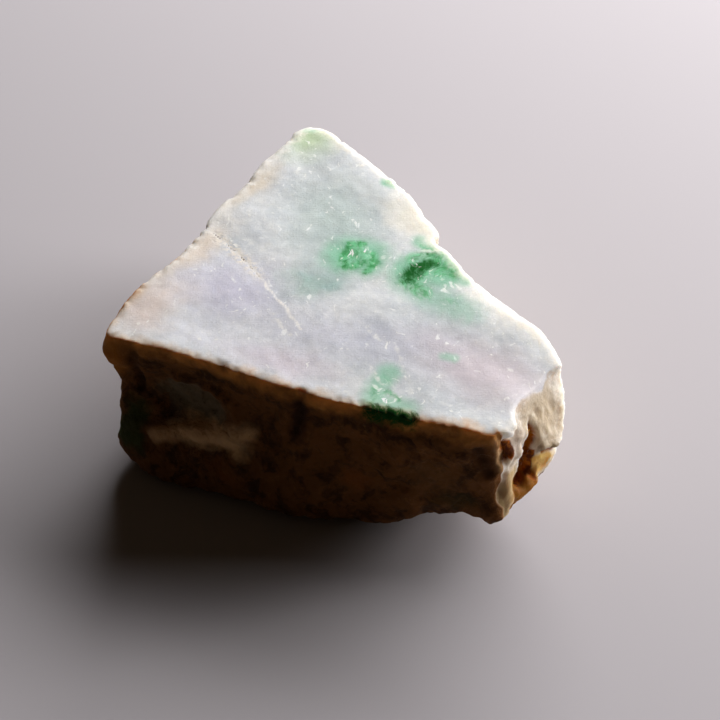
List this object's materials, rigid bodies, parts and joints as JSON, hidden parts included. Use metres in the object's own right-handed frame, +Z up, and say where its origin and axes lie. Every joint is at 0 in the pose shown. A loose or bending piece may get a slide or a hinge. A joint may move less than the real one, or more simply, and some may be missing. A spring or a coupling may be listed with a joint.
{
  "type": "raw jade boulder",
  "caption": "Hand-sized broken piece of raw jadeite: a flat fresh face with green spots, rough brown rind sides, and a small flat underneath to rest on.",
  "frame": {"origin": "centre of the bounding box's bottom, on the surface that the stone rests on", "axes": "+Z up, out of the fresh face; +Y towards the narrow tip, the stone's longest way; -Y towards the brown rind side; +X towards the end with the overhanging block"},
  "size_m": [0.06, 0.0622, 0.0226],
  "materials": {
    "jadeite": "fine sugary broken face, pale grey-white with lavender and green patches; matt brown weathered rind on the sides"
  },
  "bodies": {
    "root": {"jade_boulder": "jadeite"}
  },
  "joints": []
}
